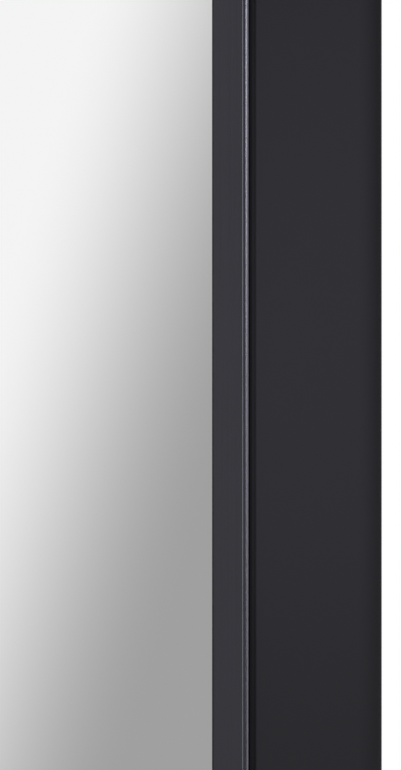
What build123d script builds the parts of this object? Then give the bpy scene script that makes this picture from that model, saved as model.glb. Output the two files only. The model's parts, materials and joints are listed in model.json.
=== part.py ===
from build123d import *
import os
from math import acos, degrees, radians, sin, sqrt, tan

# Pull-out wardrobe mirror. Two ball-bearing slides on the side panel of a wardrobe carry a
# steel carriage, and a framed mirror leaf swings on two pins at the carriage's front edge.
#
# X runs into the wardrobe, so the mirror pulls out along -X. Y points at the side panel,
# whose face is the plane y = 0. Z is up. The origin is the middle of the wall holes.
# A depth is measured from the side panel towards the room, along -Y. All sizes are millimetres.

# ---- Mirror leaf -------------------------------------------------------------------------
leaf_w = 330.0           # outer width of the framed leaf
leaf_h = 1200.0
leaf_t = 20.0
front_reach = 170.0      # from the origin to the leaf's front edge
glass_t = 4.0
gasket_t = 0.5
gasket_show = 0.8        # width of gasket seen beside the frame
back_panel_t = 3.0
stack_slack = 0.2        # play of the glass, core and back panel in the frame
edge_slack = 0.5         # play between their edges and the frame

# ---- Leaf frame, an aluminium extrusion ----------------------------------------------------
profile_w = 21.1         # outer edge to the tip of the front lip
front_lip_t = 1.6
wall_t = 1.4
chamber_w = 9.8
back_lip = 4.0
bead_r = 1.1
bead_drop = 0.15         # the bead's crest lies this far behind the frame's face
groove_w = 1.0
groove_depth = 0.9       # shallow valley between the bead and the flat face
face_edge_r = 0.75       # flat face into the valley
lip_edge_r = 0.2         # flat face at the glass
back_edge_r = 0.8
key_leg = 46.0           # corner key, from the leaf's corner to the end of a leg
key_fit = 0.1

# ---- Pivot -------------------------------------------------------------------------------
pin_r = 3.0
pin_fit = 0.05           # running clearance of pin in bush
pin_depth = 30.0         # pin length inside the leaf
bush_wall = 1.2
bush_flange_r = 6.0
bush_flange_t = 1.0
thrust_gap = 0.3         # between bush flange and leaf
press_gap = 0.05         # parts pressed or screwed together, drawn just apart
pivot_arm_t = 4.0
pivot_arm_drop = 32.0    # height of the arm's upright flange

# ---- Carriage ----------------------------------------------------------------------------
leaf_gap = 3.0           # carriage to the back of the leaf
post_inset = 2.0         # front post, back from the leaf's front edge
post_w = 40.0
post_d = 8.0
post_t = 2.0
rear_bar_w = 27.0
rear_bar_lap = 2.0       # rear bar, past the cover's front edge, behind the gap beside the leaf
catch_inset = 10.5       # magnets and bumpers, in from the leaf's rear edge
rail_t = 2.0
rail_h = 54.0
rail_flange = 6.0

# ---- Telescopic slides -------------------------------------------------------------------
slide_len = 350.0
slide_h = 45.7
slide_d = 12.7
sheet_t = 1.2
ball_r = 1.6
ball_fit = 0.06          # between ball and raceway
slide_gap = 0.3          # between sliding sheets
retainer_t = 0.5
retainer_len = 150.0
retainer_rise = 0.5      # how far a retainer reaches past the ball centres
balls_per_row = 4
ball_pitch = 40.0
pocket_slack = 0.12
stop_t = 4.7             # rubber closing stop at the rear of a slide
stop_h = 22.0
slide_drop = 170.0       # a slide's centre, in from the leaf's top or bottom edge
slide_inset = 8.0        # slide, back from the leaf's front edge

# ---- Base --------------------------------------------------------------------------------
arm_t = 2.0
arm_web_h = 56.0
arm_flange_h = 18.0
arm_end_inset = 12.0     # arm's end, in from the upright's rear edge
upright_t = 2.0
upright_w = 69.0
bend_r = 2.5
wall_hole_r = 2.75
wall_pitch_x = 260.0
upright_hole_drop = 130.0    # wall holes of the upright, in from a slide's centre

# ---- Rear cover --------------------------------------------------------------------------
cover_gap = 3.6          # leaf to cover
cover_w = 76.0
cover_setback = 4.0      # cover's face behind the leaf's face
cover_t = 1.5
cover_rear_r = 13.0
cover_front_r = 2.0
cover_lip = 5.5          # from the cover's face to the back of its front edge
shut_gap = 0.6           # leaf to the flange that closes the gap beside it
cover_wall_gap = 0.3
cap_t = 3.0
cap_plug = 8.0
cap_fit = 0.2
bracket_t = 1.5
bracket_w = 16.0
bracket_h = 30.0
bracket_drop = 240.0     # end brackets, in from the cover's ends
bracket_inset = 12.0

# ---- Screws and fittings -----------------------------------------------------------------
screw_r = 2.0            # M4 shank
screw_clear = 0.1        # clearance hole around a shank
screw_head_r = 3.8
screw_head_t = 2.2
hex_sides = 6
pan_sides = 12           # flats that stand for the rim of a round head
shank_sides = 8          # flats that stand for a shank
rail_screw_inset = 34.0  # rail screws, in from the post and from the rear bar
magnet_w = 7.0
magnet_h = 26.0
magnet_t = 3.0
magnet_drop = 90.0       # magnets, in from a slide's centre
magnet_case_w = 15.0
magnet_case_h = 40.0
strike_w = 11.0
strike_h = 36.0
strike_t = 1.0
bumper_w = 9.0
bumper_h = 16.0
bumper_drop = 50.0       # bumpers, in from a slide's centre
seat_gap = 0.3           # rubber or magnet to the leaf at rest
cover_screw_drop = 35.0  # end screws, in from the cover's ends
cover_screw_depth = 22.0

# ---- Places worked out from the sizes -------------------------------------------------------
leaf_x = -front_reach
leaf_rear_x = leaf_x + leaf_w
leaf_top = leaf_h / 2
arm_face = upright_t + arm_t
slide_face = arm_face + slide_d
rail_face = slide_face + rail_t
post_face = rail_face + post_t
post_tip = rail_face + post_d
slide_z = leaf_top - slide_drop
leaf_back = post_tip + leaf_gap
leaf_face = leaf_back + leaf_t
cover_face = leaf_face - cover_setback

slide_x = leaf_x + slide_inset
slide_end_x = slide_x + slide_len
member_end_x = slide_end_x - stop_t - slide_gap
member_len = member_end_x - slide_x
member_mid_x = (slide_x + member_end_x) / 2

cover_x = leaf_rear_x + cover_gap
cover_end_x = cover_x + cover_w
lip_back = cover_face - cover_lip
upright_end_x = cover_end_x - cover_t - cap_fit
upright_x = upright_end_x - upright_w
upright_flange = cover_face - cover_rear_r - slide_gap
arm_end_x = upright_end_x - arm_end_inset

chamber_top = groove_depth + wall_t
chamber_d = leaf_t - wall_t - chamber_top
pocket_u = wall_t + chamber_w + wall_t
pivot_u = wall_t + chamber_w / 2
pivot_x = leaf_x + pivot_u
pivot_depth = leaf_face - chamber_top - chamber_d / 2

bush_r = pin_r + pin_fit + bush_wall
arm_under = leaf_top + thrust_gap + bush_flange_t
arm_over = arm_under + pivot_arm_t
cover_top = arm_over
sheet_top = cover_top - cap_t
upright_top = sheet_top - cap_plug - slide_gap
bracket_face = cover_face - cover_t - slide_gap
arm_screw_level = arm_under - pivot_arm_drop / 2
magnet_face = leaf_back - strike_t - seat_gap

post_x = leaf_x + post_inset
post_end_x = post_x + post_w
bar_end_x = cover_x + rear_bar_lap
bar_x = bar_end_x - rear_bar_w
catch_x = leaf_rear_x - catch_inset
post_mid_x = (post_x + post_end_x) / 2
rail_mid_x = (post_end_x + bar_x) / 2
rail_screw_pitch = bar_x - post_end_x - 2 * rail_screw_inset
magnet_z = slide_z - magnet_drop
bumper_z = slide_z - bumper_drop
upright_hole_z = slide_z - upright_hole_drop
cover_screw_z = sheet_top - cover_screw_drop
bracket_z = sheet_top - bracket_drop

race_in = ball_r + ball_fit
race_out = race_in + sheet_t
race_mid = race_in + sheet_t / 2
sheet_pitch = sheet_t + 2 * slide_gap + retainer_t    # outer web to middle web, and so on
outer_ball = (race_out, slide_h / 2 - race_out)
wave = degrees(acos(sheet_pitch / (2 * race_mid)))
inner_ball = (outer_ball[0] + sheet_pitch, outer_ball[1] - 2 * race_mid * sin(radians(wave)))
hook_end = 10.0          # degrees that a hook reaches round the front of its balls
hook_tip = 15.0
under = -90.0            # angle of the point under a ball's centre
over = 180.0             # angle of the point on the wall side of a ball's centre
groove_start = 5.0       # degrees that a groove reaches behind its balls
groove_end = 38.0

ball_flat = tan(radians(22.5))              # half a flat of a ball, as a share of its half width
ball_half = ball_r / sqrt(1 + 2 * ball_flat ** 2)

os.makedirs("parts", exist_ok=True)


# ---- Planes and profiles ------------------------------------------------------------------
def front(depth):
    """Plane facing the room, drawn as (x, z); extrude goes towards the room."""
    return Plane.XZ.offset(depth)


def plan(z):
    """Level plane, drawn as (x, depth); extrude goes down."""
    return Plane(origin=(0, 0, z), x_dir=(1, 0, 0), z_dir=(0, 0, -1))


def side(x, depth=0.0, z=0.0):
    """Plane across the wardrobe, drawn as (depth, height); extrude goes out of the wardrobe."""
    return Plane(origin=(x, -depth, z), x_dir=(0, -1, 0), z_dir=(-1, 0, 0))


def block(x0, x1, y0, y1, mode=Mode.ADD):
    """Rectangle of a sketch between two corners."""
    with Locations((x0, y0)):
        Rectangle(x1 - x0, y1 - y0, align=(Align.MIN, Align.MIN), mode=mode)


def ring_sector(centre, first, last):
    """Bent strip of slide sheet round a ball centre, between two angles."""
    with BuildLine() as strip:
        outer_arc = CenterArc(centre, race_out, first, last - first)
        inner_arc = CenterArc(centre, race_in, first, last - first)
        Line(outer_arc @ 0, inner_arc @ 0)
        Line(outer_arc @ 1, inner_arc @ 1)
    make_face(strip.edges())


def near(sketch, x, y):
    """Corner of a sketch closest to a point."""
    return sketch.vertices().sort_by_distance((x, y))[0]


# ---- Slides --------------------------------------------------------------------------------
def slide_outer_member(z):
    """Outer member: a web with a hook round each row of outer balls."""
    with BuildPart() as member:
        with BuildSketch(side(slide_end_x, arm_face, z)):
            block(0, sheet_t, 0, outer_ball[1])
            ring_sector(outer_ball, -hook_end, over)
            mirror(about=Plane.XZ)
        extrude(amount=slide_len)
    return member.part


def slide_middle_member(z):
    """Middle member: a web whose edges wave over the outer balls and under the inner ones."""
    with BuildPart() as member:
        with BuildSketch(side(member_end_x, arm_face, z)):
            block(sheet_pitch, sheet_pitch + sheet_t, 0, outer_ball[1] - race_mid)
            ring_sector(outer_ball, under - groove_start, -wave)
            ring_sector(inner_ball, -hook_tip, over - wave)
            mirror(about=Plane.XZ)
        extrude(amount=member_len)
    return member.part


def slide_inner_member(z):
    """Inner member: a channel open to the wall, with a groove under each row of inner balls."""
    rail_top = inner_ball[1] - race_in
    with BuildPart() as member:
        with BuildSketch(side(member_end_x, arm_face, z)) as section:
            block(inner_ball[0], slide_d, rail_top - sheet_t, rail_top)
            block(slide_d - sheet_t, slide_d, 0, rail_top)
            ring_sector(inner_ball, under - groove_start, under + groove_end)
            fillet(near(section, slide_d, rail_top), sheet_t)
            mirror(about=Plane.XZ)
        extrude(amount=member_len)
        with BuildSketch(front(slide_face)):
            with Locations((rail_mid_x, z)):
                with GridLocations(rail_screw_pitch, 1, 2, 1):
                    Circle(screw_r + press_gap)
        extrude(amount=-sheet_t, mode=Mode.SUBTRACT)
    return member.part


def ball_retainer(z, ball, back):
    """Flat stamped strip with a notch at each ball of an upper and a lower row."""
    reach = ball[1] + retainer_rise
    notch = sqrt(ball_r ** 2 - (ball[0] - back - retainer_t) ** 2) + pocket_slack
    with BuildPart() as strip:
        with BuildSketch(front(arm_face + back)):
            with Locations((member_mid_x, z)):
                Rectangle(retainer_len, 2 * reach)
                with GridLocations(ball_pitch, 2 * ball[1], balls_per_row, 2):
                    Rectangle(2 * notch, 2 * notch, mode=Mode.SUBTRACT)
        extrude(amount=retainer_t)
    return strip.part


def ball_set(z, ball):
    """The balls of one retainer, each a cube with its edges cut back to a ball of flats."""
    with BuildPart() as balls:
        with Locations(front(arm_face + ball[0])):
            with Locations((member_mid_x, z)):
                with GridLocations(ball_pitch, 2 * ball[1], balls_per_row, 2):
                    Box(2 * ball_half, 2 * ball_half, 2 * ball_half)
        chamfer(balls.edges(), ball_half * (1 - ball_flat))
    return balls.part


for level, z in (("upper", slide_z), ("lower", -slide_z)):
    outer = slide_outer_member(z)
    outer.label = f"{level}_slide_outer"
    export_step(outer, f"parts/{level}_slide_outer.step")

    middle = slide_middle_member(z)
    middle.label = f"{level}_slide_middle"
    export_step(middle, f"parts/{level}_slide_middle.step")

    inner = slide_inner_member(z)
    inner.label = f"{level}_slide_inner"
    export_step(inner, f"parts/{level}_slide_inner.step")

    first_back = sheet_t + slide_gap
    second_back = sheet_pitch + sheet_t + slide_gap
    for row, ball, back in (("outer", outer_ball, first_back), ("inner", inner_ball, second_back)):
        retainer = ball_retainer(z, ball, back)
        retainer.label = f"{level}_{row}_retainer"
        export_step(retainer, f"parts/{level}_{row}_retainer.step")

        balls = ball_set(z, ball)
        balls.label = f"{level}_{row}_balls"
        export_step(balls, f"parts/{level}_{row}_balls.step")

with BuildPart() as slide_stops:
    with BuildSketch(front(arm_face + sheet_t)):
        with GridLocations(1, 2 * slide_z, 1, 2):
            with Locations((slide_end_x - stop_t / 2, 0)):
                Rectangle(stop_t, stop_h)
    extrude(amount=slide_d - 2 * sheet_t)
slide_stops.part.label = "slide_stops"
export_step(slide_stops.part, "parts/slide_stops.step")


# ---- Base ----------------------------------------------------------------------------------
def mounting_arm(z):
    """Hat-shaped steel arm: flanges on the wall, raised web that is welded on the upright."""
    web = arm_web_h / 2
    with BuildPart() as arm:
        with BuildSketch(side(arm_end_x, 0, z)) as section:
            block(upright_t, arm_face, 0, web)
            block(0, arm_face, web - arm_t, web)
            block(0, arm_t, web - arm_t, web + arm_flange_h)
            fillet(near(section, arm_face, web), arm_t)
            mirror(about=Plane.XZ)
        extrude(amount=arm_end_x - slide_x)
        # the flanges stop where the upright begins
        with BuildSketch(side(arm_end_x, 0, z)):
            block(0, upright_t, -web - arm_flange_h, web + arm_flange_h)
        extrude(amount=arm_end_x - upright_x + slide_gap, mode=Mode.SUBTRACT)
        with BuildSketch(front(0)):
            with Locations((0, z)):
                with GridLocations(wall_pitch_x, arm_web_h + arm_flange_h, 2, 2):
                    Circle(wall_hole_r)
        extrude(amount=arm_face, mode=Mode.SUBTRACT)
    return arm.part


upper_mounting_arm = mounting_arm(slide_z)
upper_mounting_arm.label = "upper_mounting_arm"
export_step(upper_mounting_arm, "parts/upper_mounting_arm.step")

lower_mounting_arm = mounting_arm(-slide_z)
lower_mounting_arm.label = "lower_mounting_arm"
export_step(lower_mounting_arm, "parts/lower_mounting_arm.step")

upright_hole_x = upright_x + upright_w / 2

with BuildPart() as rear_upright:
    with BuildSketch(plan(upright_top)) as upright_section:
        block(upright_x, upright_end_x, 0, upright_t)
        block(upright_end_x - upright_t, upright_end_x, 0, upright_flange)
        fillet(near(upright_section, upright_end_x, 0), bend_r)
    extrude(amount=2 * upright_top)
    with BuildSketch(front(0)):
        with Locations((upright_hole_x, 0)):
            with GridLocations(1, 2 * upright_hole_z, 1, 2):
                Circle(wall_hole_r)
    extrude(amount=upright_t, mode=Mode.SUBTRACT)
    with BuildSketch(side(cover_end_x)):
        with Locations((cover_screw_depth, 0)):
            with GridLocations(1, 2 * cover_screw_z, 1, 2):
                Circle(screw_r + press_gap)
    extrude(amount=2 * cover_rear_r, mode=Mode.SUBTRACT)
rear_upright.part.label = "rear_upright"
export_step(rear_upright.part, "parts/rear_upright.step")

# ---- Rear cover ----------------------------------------------------------------------------
with BuildPart() as rear_cover:
    with BuildSketch(plan(sheet_top)) as cover_outside:
        block(cover_x, cover_end_x, cover_wall_gap, cover_face)
        fillet(near(cover_outside, cover_end_x, cover_face), cover_rear_r)
        fillet(near(cover_outside, cover_x, cover_face), cover_front_r)
    extrude(amount=2 * sheet_top)
    with BuildSketch(plan(sheet_top)) as cover_inside:
        block(cover_x + cover_t, cover_end_x - cover_t, 0, cover_face - cover_t)
        fillet(near(cover_inside, cover_end_x, cover_face), cover_rear_r - cover_t)
        block(cover_x, cover_x + cover_t, 0, lip_back)
    extrude(amount=2 * sheet_top, mode=Mode.SUBTRACT)
    # the front edge turns out to the leaf and leaves a shallow dark reveal beside it
    with BuildSketch(plan(sheet_top)):
        block(leaf_rear_x + shut_gap, cover_x + cover_t, lip_back, lip_back + cover_t)
    extrude(amount=2 * sheet_top)
    with BuildSketch(side(cover_end_x)):
        with Locations((cover_screw_depth, 0)):
            with GridLocations(1, 2 * cover_screw_z, 1, 2):
                Circle(screw_r + screw_clear)
    extrude(amount=cover_t, mode=Mode.SUBTRACT)
rear_cover.part.label = "rear_cover"
export_step(rear_cover.part, "parts/rear_cover.step")

with BuildPart() as cover_screws:
    with BuildSketch(side(cover_end_x)):
        with Locations((cover_screw_depth, 0)):
            with GridLocations(1, 2 * cover_screw_z, 1, 2):
                RegularPolygon(screw_head_r, pan_sides)
    extrude(amount=-screw_head_t)
    with BuildSketch(side(cover_end_x)):
        with Locations((cover_screw_depth, 0)):
            with GridLocations(1, 2 * cover_screw_z, 1, 2):
                RegularPolygon(screw_r, shank_sides)
    extrude(amount=cover_t + cap_fit + 2 * upright_t)
cover_screws.part.label = "cover_screws"
export_step(cover_screws.part, "parts/cover_screws.step")


def cover_cap(face):
    """Moulded end cap: a plate with the cover's outline and a hollow plug inside the cover.

    face is a level plane drawn as (x, depth) whose normal points into the cover."""
    inset = cover_t + cap_fit
    with BuildPart() as cap:
        with BuildSketch(face) as plate:
            block(cover_x, cover_end_x, cover_wall_gap, cover_face)
            fillet(near(plate, cover_end_x, cover_face), cover_rear_r)
            fillet(near(plate, cover_x, cover_face), cover_front_r)
        extrude(amount=cap_t)
        with BuildSketch(face.offset(cap_t)) as plug:
            block(cover_x + inset, cover_end_x - inset, upright_t, cover_face - inset)
            fillet(near(plug, cover_end_x, cover_face), cover_rear_r - inset)
        extrude(amount=cap_plug)
        with BuildSketch(face.offset(cap_t)) as hollow:
            block(cover_x + 2 * inset, cover_end_x - 2 * inset, 2 * inset, cover_face - 2 * inset)
            fillet(near(hollow, cover_end_x, cover_face), cover_rear_r - 2 * inset)
        extrude(amount=cap_plug, mode=Mode.SUBTRACT)
    return cap.part


cover_top_cap = cover_cap(plan(cover_top))
cover_top_cap.label = "cover_top_cap"
export_step(cover_top_cap, "parts/cover_top_cap.step")

cover_bottom_cap = mirror(cover_top_cap, about=Plane.XY)
cover_bottom_cap.label = "cover_bottom_cap"
export_step(cover_bottom_cap, "parts/cover_bottom_cap.step")

with BuildPart() as cover_brackets:
    with BuildSketch(*[plan(z + bracket_h / 2) for z in (-bracket_z, 0, bracket_z)]):
        with Locations((upright_x + bracket_inset, 0)):
            block(0, bracket_w, upright_t, upright_t + bracket_t)
            block(0, bracket_t, upright_t, bracket_face)
            block(bracket_t - bracket_w, bracket_t, bracket_face - bracket_t, bracket_face)
    extrude(amount=bracket_h)
cover_brackets.part.label = "cover_brackets"
export_step(cover_brackets.part, "parts/cover_brackets.step")


# ---- Carriage ------------------------------------------------------------------------------
def carriage_rail(z):
    """Rail screwed to a slide: a plate under post and rear bar, with flanges between them."""
    half = rail_h / 2
    with BuildPart() as rail:
        with BuildSketch(side(bar_end_x, slide_face, z)):
            Rectangle(2 * rail_t, rail_h)
            block(-rail_t, 0, -half, half, mode=Mode.SUBTRACT)
        extrude(amount=bar_end_x - post_x)
        with BuildSketch(side(bar_x - slide_gap, slide_face, z)):
            block(0, rail_t + rail_flange, half - rail_t, half)
            block(0, rail_t + rail_flange, -half, rail_t - half)
        extrude(amount=bar_x - post_end_x - 2 * slide_gap)
        with BuildSketch(front(slide_face)):
            with Locations((rail_mid_x, z)):
                with GridLocations(rail_screw_pitch, 1, 2, 1):
                    Circle(screw_r + screw_clear)
        extrude(amount=rail_t, mode=Mode.SUBTRACT)
    return rail.part


for level, z in (("upper", slide_z), ("lower", -slide_z)):
    rail = carriage_rail(z)
    rail.label = f"{level}_carriage_rail"
    export_step(rail, f"parts/{level}_carriage_rail.step")

with BuildPart() as carriage_post:
    with BuildSketch(plan(arm_under)) as post_section:
        block(post_x, post_end_x, rail_face, post_tip)
        fillet(near(post_section, post_x, rail_face), post_t)
        fillet(near(post_section, post_end_x, rail_face), post_t)
        block(post_x + post_t, post_end_x - post_t, post_face, post_tip, mode=Mode.SUBTRACT)
    extrude(amount=2 * arm_under)
    with BuildSketch(front(rail_face)):
        with Locations((post_mid_x, arm_screw_level), (post_mid_x, -arm_screw_level)):
            Circle(screw_r + press_gap)
    extrude(amount=post_t, mode=Mode.SUBTRACT)
carriage_post.part.label = "carriage_post"
export_step(carriage_post.part, "parts/carriage_post.step")

with BuildPart() as carriage_rear_bar:
    with BuildSketch(plan(upright_top)) as bar_section:
        block(bar_x, bar_end_x, rail_face, post_tip)
        fillet(near(bar_section, bar_x, rail_face), post_t)
        fillet(near(bar_section, bar_end_x, rail_face), post_t)
        block(bar_x + post_t, bar_end_x - post_t, post_face, post_tip, mode=Mode.SUBTRACT)
    extrude(amount=2 * upright_top)
carriage_rear_bar.part.label = "carriage_rear_bar"
export_step(carriage_rear_bar.part, "parts/carriage_rear_bar.step")

with BuildPart() as rail_screws:
    with BuildSketch(front(rail_face)):
        with Locations((rail_mid_x, 0)):
            with GridLocations(rail_screw_pitch, 2 * slide_z, 2, 2):
                RegularPolygon(screw_head_r, hex_sides)
    extrude(amount=screw_head_t)
    with BuildSketch(front(rail_face)):
        with Locations((rail_mid_x, 0)):
            with GridLocations(rail_screw_pitch, 2 * slide_z, 2, 2):
                RegularPolygon(screw_r, shank_sides)
    extrude(amount=-rail_t - 2 * sheet_t)
rail_screws.part.label = "rail_screws"
export_step(rail_screws.part, "parts/rail_screws.step")

with BuildPart() as magnet_cases:
    with BuildSketch(front(post_face)):
        with GridLocations(1, 2 * magnet_z, 1, 2):
            with Locations((catch_x, 0)):
                Rectangle(magnet_case_w, magnet_case_h)
    extrude(amount=magnet_face - post_face)
    with BuildSketch(front(magnet_face)):
        with GridLocations(1, 2 * magnet_z, 1, 2):
            with Locations((catch_x, 0)):
                Rectangle(magnet_w + 2 * press_gap, magnet_h + 2 * press_gap)
    extrude(amount=-magnet_t, mode=Mode.SUBTRACT)
magnet_cases.part.label = "magnet_cases"
export_step(magnet_cases.part, "parts/magnet_cases.step")

with BuildPart() as catch_magnets:
    with BuildSketch(front(magnet_face)):
        with GridLocations(1, 2 * magnet_z, 1, 2):
            with Locations((catch_x, 0)):
                Rectangle(magnet_w, magnet_h)
    extrude(amount=-magnet_t)
catch_magnets.part.label = "catch_magnets"
export_step(catch_magnets.part, "parts/catch_magnets.step")

with BuildPart() as leaf_bumpers:
    with BuildSketch(front(post_face)):
        with GridLocations(1, 2 * bumper_z, 1, 2):
            with Locations((catch_x, 0)):
                Rectangle(bumper_w, bumper_h)
    extrude(amount=leaf_back - seat_gap - post_face)
leaf_bumpers.part.label = "leaf_bumpers"
export_step(leaf_bumpers.part, "parts/leaf_bumpers.step")


# ---- Pivot ---------------------------------------------------------------------------------
def pivot_arm():
    """Upper arm: a plate on the post's end that reaches over the leaf, with a flange below."""
    with BuildPart() as arm:
        with BuildSketch(plan(arm_over)):
            block(post_x, post_end_x, rail_face, post_tip)
            with Locations((pivot_x, pivot_depth)):
                Circle(pivot_u)
            make_hull()
        extrude(amount=pivot_arm_t)
        with BuildSketch(plan(arm_under)):
            block(post_x + 2 * post_t, post_end_x - 2 * post_t, post_face, post_face + post_t)
        extrude(amount=pivot_arm_drop)
        with BuildSketch(plan(arm_over)):
            with Locations((pivot_x, pivot_depth)):
                Circle(bush_r + press_gap)
        extrude(amount=pivot_arm_t, mode=Mode.SUBTRACT)
        with BuildSketch(front(post_face)):
            with Locations((post_mid_x, arm_screw_level)):
                Circle(screw_r + screw_clear)
        extrude(amount=post_t, mode=Mode.SUBTRACT)
    return arm.part


def pivot_bush():
    """Flanged bush of the upper arm; the flange lies between arm and leaf."""
    with BuildPart() as bush:
        with BuildSketch(plan(arm_over)):
            with Locations((pivot_x, pivot_depth)):
                Circle(bush_r)
        extrude(amount=pivot_arm_t)
        with BuildSketch(plan(arm_under)):
            with Locations((pivot_x, pivot_depth)):
                Circle(bush_flange_r)
        extrude(amount=bush_flange_t)
        with BuildSketch(plan(arm_over)):
            with Locations((pivot_x, pivot_depth)):
                Circle(pin_r + pin_fit)
        extrude(amount=pivot_arm_t + bush_flange_t, mode=Mode.SUBTRACT)
    return bush.part


def pivot_pin():
    """Upper pin, from the top of the arm down into the leaf's corner key."""
    with BuildPart() as pin:
        with BuildSketch(plan(arm_over)):
            with Locations((pivot_x, pivot_depth)):
                Circle(pin_r)
        extrude(amount=arm_over - leaf_top + pin_depth)
    return pin.part


for name, make in (("pivot_arm", pivot_arm), ("pivot_bush", pivot_bush), ("pivot_pin", pivot_pin)):
    upper = make()
    lower = mirror(upper, about=Plane.XY)
    for level, piece in (("upper", upper), ("lower", lower)):
        piece.label = f"{level}_{name}"
        export_step(piece, f"parts/{level}_{name}.step")

with BuildPart() as pivot_arm_screws:
    with BuildSketch(front(post_face + post_t)):
        with Locations((post_mid_x, arm_screw_level), (post_mid_x, -arm_screw_level)):
            RegularPolygon(screw_head_r, hex_sides)
    extrude(amount=screw_head_t)
    with BuildSketch(front(post_face + post_t)):
        with Locations((post_mid_x, arm_screw_level), (post_mid_x, -arm_screw_level)):
            RegularPolygon(screw_r, shank_sides)
    extrude(amount=-2 * post_t)
pivot_arm_screws.part.label = "pivot_arm_screws"
export_step(pivot_arm_screws.part, "parts/pivot_arm_screws.step")


# ---- Leaf ----------------------------------------------------------------------------------
def leaf_front(depth):
    """Plane facing the room with its origin on the leaf's middle, drawn as (across, up)."""
    return Plane(origin=(leaf_x + leaf_w / 2, -depth, 0), x_dir=(1, 0, 0), z_dir=(0, -1, 0))


def frame_member(corner, across, along, length):
    """Mitred length of the frame extrusion.

    corner is the outer corner of the leaf where it starts, on the leaf's face. across points
    from the outer edge towards the glass, and along is the member's own direction."""
    bead_axis = bead_drop + bead_r
    bead_foot = bead_r + sqrt(bead_r ** 2 - (bead_axis - groove_depth) ** 2)
    groove_x = bead_foot + groove_w
    back_x = pocket_u + back_lip
    with BuildPart() as member:
        with BuildSketch(Plane(origin=corner, x_dir=across, z_dir=along)) as section:
            with BuildLine():
                Polyline(
                    (bead_foot, groove_depth), (groove_x, groove_depth),
                    (groove_x, 0), (profile_w, 0),
                    (profile_w, front_lip_t), (pocket_u, front_lip_t),
                    (pocket_u, leaf_t - front_lip_t), (back_x, leaf_t - front_lip_t),
                    (back_x, leaf_t), (0, leaf_t), (0, bead_axis),
                )
                ThreePointArc((0, bead_axis), (bead_r, bead_drop), (bead_foot, groove_depth))
            make_face()
            fillet(near(section, groove_x, 0), face_edge_r)
            fillet(near(section, profile_w, 0), lip_edge_r)
            fillet(near(section, 0, leaf_t), back_edge_r)
            block(wall_t, wall_t + chamber_w, chamber_top, leaf_t - wall_t, mode=Mode.SUBTRACT)
        extrude(amount=length)
        with BuildSketch(Plane(origin=corner, x_dir=along, z_dir=(0, 1, 0))):
            with BuildLine():
                Polyline(
                    (0, 0), (length, 0), (length - 2 * profile_w, 2 * profile_w),
                    (2 * profile_w, 2 * profile_w), close=True,
                )
            make_face()
        extrude(amount=leaf_t, mode=Mode.INTERSECT)
        with BuildSketch(plan(leaf_top)):
            with Locations((pivot_x, pivot_depth)):
                Circle(pin_r + screw_clear)
        extrude(amount=leaf_h, mode=Mode.SUBTRACT)
    return member.part


for name, corner, across, along, length in (
    ("left_stile", (leaf_x, -leaf_face, -leaf_top), (1, 0, 0), (0, 0, 1), leaf_h),
    ("right_stile", (leaf_rear_x, -leaf_face, leaf_top), (-1, 0, 0), (0, 0, -1), leaf_h),
    ("top_rail", (leaf_x, -leaf_face, leaf_top), (0, 0, -1), (1, 0, 0), leaf_w),
    ("bottom_rail", (leaf_rear_x, -leaf_face, -leaf_top), (0, 0, 1), (-1, 0, 0), leaf_w),
):
    member = frame_member(corner, across, along, length)
    member.label = name
    export_step(member, f"parts/{name}.step")

with BuildPart() as corner_keys:
    key_in = wall_t + key_fit
    key_out = wall_t + chamber_w - key_fit
    with BuildSketch(leaf_front(leaf_back + wall_t + key_fit)):
        with Locations((-leaf_w / 2, leaf_h / 2)):
            block(key_in, key_leg, -key_out, -key_in)
            block(key_in, key_out, -key_leg, -key_in)
        mirror(about=Plane.YZ)
        mirror(about=Plane.XZ)
    extrude(amount=chamber_d - 2 * key_fit)
    for face in (plan(leaf_top), Plane(origin=(0, 0, -leaf_top), x_dir=(1, 0, 0), z_dir=(0, 0, 1))):
        with BuildSketch(face):
            with Locations((pivot_x, pivot_depth * (-1 if face.z_dir.Z > 0 else 1))):
                Circle(pin_r + press_gap)
        extrude(amount=pin_depth + press_gap, mode=Mode.SUBTRACT)
corner_keys.part.label = "corner_keys"
export_step(corner_keys.part, "parts/corner_keys.step")

sheet_w = leaf_w - 2 * (pocket_u + edge_slack)
sheet_h = leaf_h - 2 * (pocket_u + edge_slack)
sight_w = leaf_w - 2 * (profile_w + gasket_show)
sight_h = leaf_h - 2 * (profile_w + gasket_show)
glass_face = leaf_face - front_lip_t - gasket_t
panel_back = leaf_back + front_lip_t + stack_slack
core_t = glass_face - glass_t - panel_back - back_panel_t

with BuildPart() as glass_gasket:
    with BuildSketch(leaf_front(glass_face)):
        Rectangle(sheet_w, sheet_h)
        Rectangle(sight_w, sight_h, mode=Mode.SUBTRACT)
    extrude(amount=gasket_t)
glass_gasket.part.label = "glass_gasket"
export_step(glass_gasket.part, "parts/glass_gasket.step")

with BuildPart() as mirror_glass:
    with BuildSketch(leaf_front(glass_face - glass_t)):
        Rectangle(sheet_w, sheet_h)
    extrude(amount=glass_t)
mirror_glass.part.label = "mirror_glass"
export_step(mirror_glass.part, "parts/mirror_glass.step")

with BuildPart() as core_board:
    with BuildSketch(leaf_front(panel_back + back_panel_t)):
        Rectangle(sheet_w, sheet_h)
    extrude(amount=core_t)
core_board.part.label = "core_board"
export_step(core_board.part, "parts/core_board.step")

with BuildPart() as back_panel:
    with BuildSketch(leaf_front(panel_back)):
        Rectangle(sheet_w, sheet_h)
    extrude(amount=back_panel_t)
back_panel.part.label = "back_panel"
export_step(back_panel.part, "parts/back_panel.step")

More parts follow.
